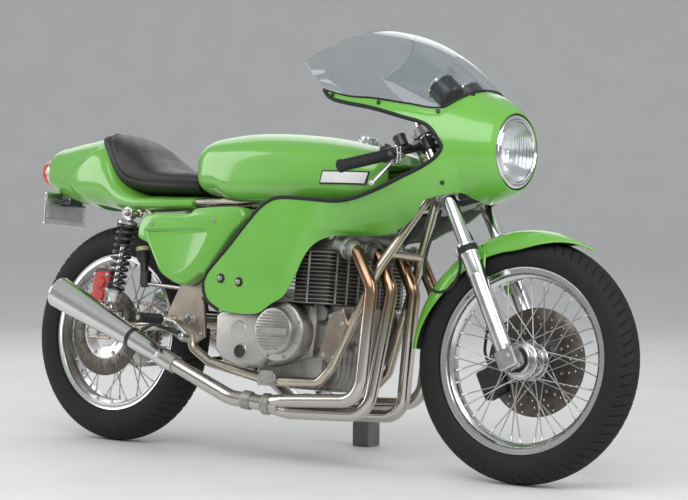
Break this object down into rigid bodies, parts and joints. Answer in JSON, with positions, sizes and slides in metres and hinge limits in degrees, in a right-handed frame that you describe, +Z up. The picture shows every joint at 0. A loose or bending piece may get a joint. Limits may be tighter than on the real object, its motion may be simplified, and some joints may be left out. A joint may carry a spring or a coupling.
{
  "type": "cafe racer motorcycle",
  "caption": "Cafe racer motorcycle with a cockpit fairing, air-cooled inline engine, single humped seat, wire wheels and megaphone silencers, leaned on its side stand.",
  "frame": {"origin": "ground plane, under the middle of the bounding box", "axes": "+X forward, +Y to the rider's left, +Z up; the motorcycle leans to its left about X"},
  "size_m": [2.168, 0.675, 1.2281],
  "materials": {
    "green_paint": "gloss",
    "nickel": "satin",
    "spring_black": "gloss",
    "cast_alloy": "matt",
    "polished_alloy": "polished",
    "header_chrome": "heat tinted",
    "silencer_chrome": "polished",
    "seat_leather": "satin",
    "lamp_red": "gloss",
    "plate_white": "satin",
    "satin_black": "satin",
    "clear_screen": "clear",
    "lamp_chrome": "polished",
    "red_paint": "gloss",
    "chain_steel": "oiled",
    "block_grey": "matt",
    "fork_steel": "polished",
    "grip_rubber": "matt",
    "tyre_rubber": "matt",
    "rim_alloy": "polished",
    "spoke_steel": "polished",
    "disc_steel": "satin"
  },
  "bodies": {
    "chassis": {"upper_frame": "nickel", "cradle": "nickel", "seat_rails": "nickel", "swingarm": "nickel", "rear_shocks": "spring_black", "crankcase": "cast_alloy", "cylinders": "cast_alloy", "cylinder_head": "cast_alloy", "engine_covers": "polished_alloy", "carburettors": "cast_alloy", "exhaust_headers": "header_chrome", "silencers": "silencer_chrome", "fuel_tank": "green_paint", "filler_cap": "silencer_chrome", "seat": "seat_leather", "tail_unit": "green_paint", "tail_light": "lamp_red", "plate_frame": "plate_white", "side_panels": "green_paint", "fairing": "green_paint", "fairing_stay": "satin_black", "windscreen": "clear_screen", "headlight": "lamp_chrome", "instruments": "satin_black", "footrests": "satin_black", "rear_brake": "red_paint", "drive_chain": "chain_steel", "stand_block": "block_grey"},
    "steering": {"yokes": "polished_alloy", "fork_legs": "fork_steel", "handlebars": "satin_black", "grips": "grip_rubber", "front_mudguard": "green_paint", "front_caliper": "satin_black"},
    "front_wheel": {"front_tyre": "tyre_rubber", "front_rim": "rim_alloy", "front_hub": "polished_alloy", "front_spokes": "spoke_steel", "front_disc": "disc_steel"},
    "rear_wheel": {"rear_tyre": "tyre_rubber", "rear_rim": "rim_alloy", "rear_hub": "polished_alloy", "rear_spokes": "spoke_steel", "rear_discs": "disc_steel"},
    "side_stand": {"side_stand": "fork_steel"}
  },
  "joints": [
    {"name": "steering_turn", "type": "hinge", "parent": "chassis", "child": "steering", "pos_m": [0.859, -0.0845, 0.00027], "axis": [-0.4695, 0.0923, 0.8781], "range_deg": [-24.8, 19.2]},
    {"name": "front_wheel_spin", "type": "hinge", "parent": "steering", "child": "front_wheel", "pos_m": [0.75393, -0.04699, 0.32811], "axis": [-0.0431, 0.9909, -0.1272], "continuous": true},
    {"name": "rear_wheel_spin", "type": "hinge", "parent": "chassis", "child": "rear_wheel", "pos_m": [-0.706, -0.05001, 0.32847], "axis": [0, 0.9945, -0.1045], "continuous": true},
    {"name": "side_stand_fold", "type": "hinge", "parent": "chassis", "child": "side_stand", "pos_m": [-0.056, 0.10369, 0.18361], "axis": [0.2932, 0.3977, 0.8694], "range_deg": [0, 76]}
  ]
}
